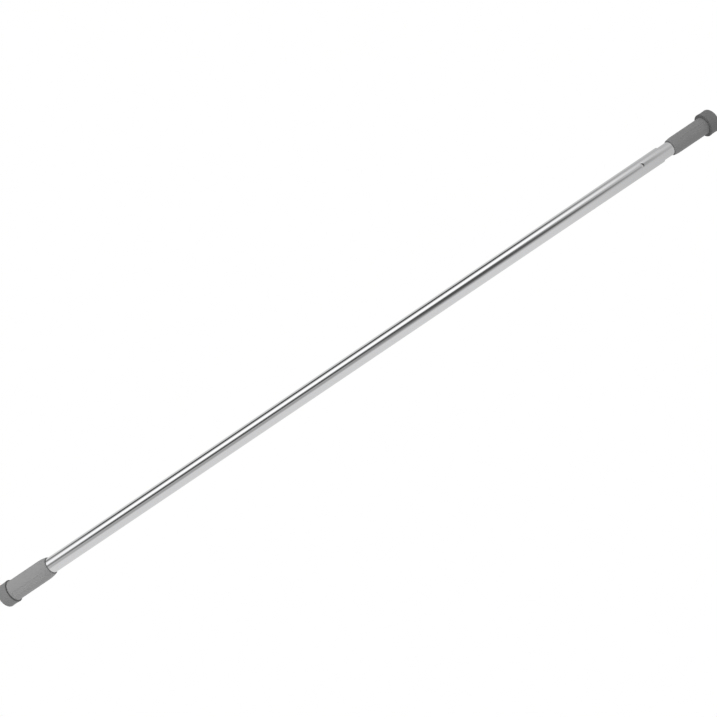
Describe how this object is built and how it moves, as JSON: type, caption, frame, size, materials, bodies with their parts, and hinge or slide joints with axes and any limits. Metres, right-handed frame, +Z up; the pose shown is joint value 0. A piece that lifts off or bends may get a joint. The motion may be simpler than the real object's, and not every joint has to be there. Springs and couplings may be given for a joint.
{
  "type": "window security bar",
  "caption": "Telescopic chrome bar with twist lock, grey end sleeves and flat rubber feet, wedged across a sliding window or door to stop it opening.",
  "frame": {"origin": "middle of the fixed foot's outer face", "axes": "+X along the bar from the fixed foot to the sliding foot, +Z up through the dimpled side, +Y across"},
  "size_m": [1.125, 0.0324, 0.0324],
  "materials": {
    "chrome_tube": "bright plated steel tube",
    "grey_sleeve": "satin moulded plastic",
    "grey_foot": "matt moulded rubber",
    "natural_nylon": "unpigmented nylon",
    "black_nylon": "black nylon",
    "black_rubber": "black rubber",
    "zinc_steel": "zinc plated steel",
    "spring_steel": "oiled spring steel"
  },
  "bodies": {
    "outer": {"outer_tube": "chrome_tube", "guide_bush": "natural_nylon", "fixed_end_plug": "black_nylon", "fixed_sleeve": "grey_sleeve", "fixed_foot": "grey_foot", "stop_buffer": "black_rubber"},
    "lock_collar": {"expander_collar": "natural_nylon", "drag_ring": "black_rubber"},
    "lock_stud": {"lock_stud": "zinc_steel", "stud_end_clip": "spring_steel", "thrust_washer": "zinc_steel", "compression_spring": "spring_steel", "stop_washer": "zinc_steel", "stop_nut": "zinc_steel"},
    "wedge_nut": {"wedge_nut": "black_nylon"},
    "inner_tube": {"inner_tube": "chrome_tube", "drive_plug": "black_nylon", "plug_rivets": "zinc_steel", "rear_guide_ring": "natural_nylon", "sliding_end_plug": "black_nylon", "sliding_sleeve": "grey_sleeve", "sliding_foot": "grey_foot"}
  },
  "joints": [
    {"name": "telescope", "type": "slide", "parent": "outer", "child": "lock_collar", "axis": [1, 0, 0], "range_m": [0, 0.875]},
    {"name": "twist", "type": "hinge", "parent": "lock_collar", "child": "lock_stud", "pos_m": [0, 0, 0], "axis": [1, 0, 0], "range_deg": [0, 540]},
    {"name": "wedge_travel", "type": "slide", "parent": "lock_collar", "child": "wedge_nut", "axis": [1, 0, 0], "range_m": [-0.0019, 0]},
    {"name": "plunge", "type": "slide", "parent": "lock_stud", "child": "inner_tube", "axis": [1, 0, 0], "range_m": [-0.014, 0], "stiffness_N_per_m": 4600, "springref_m": 0.01, "deforming": ["compression_spring"]}
  ],
  "couplings": [
    {"joint": "wedge_travel", "follows": "twist", "m_per_rad": -0.00019894}
  ]
}
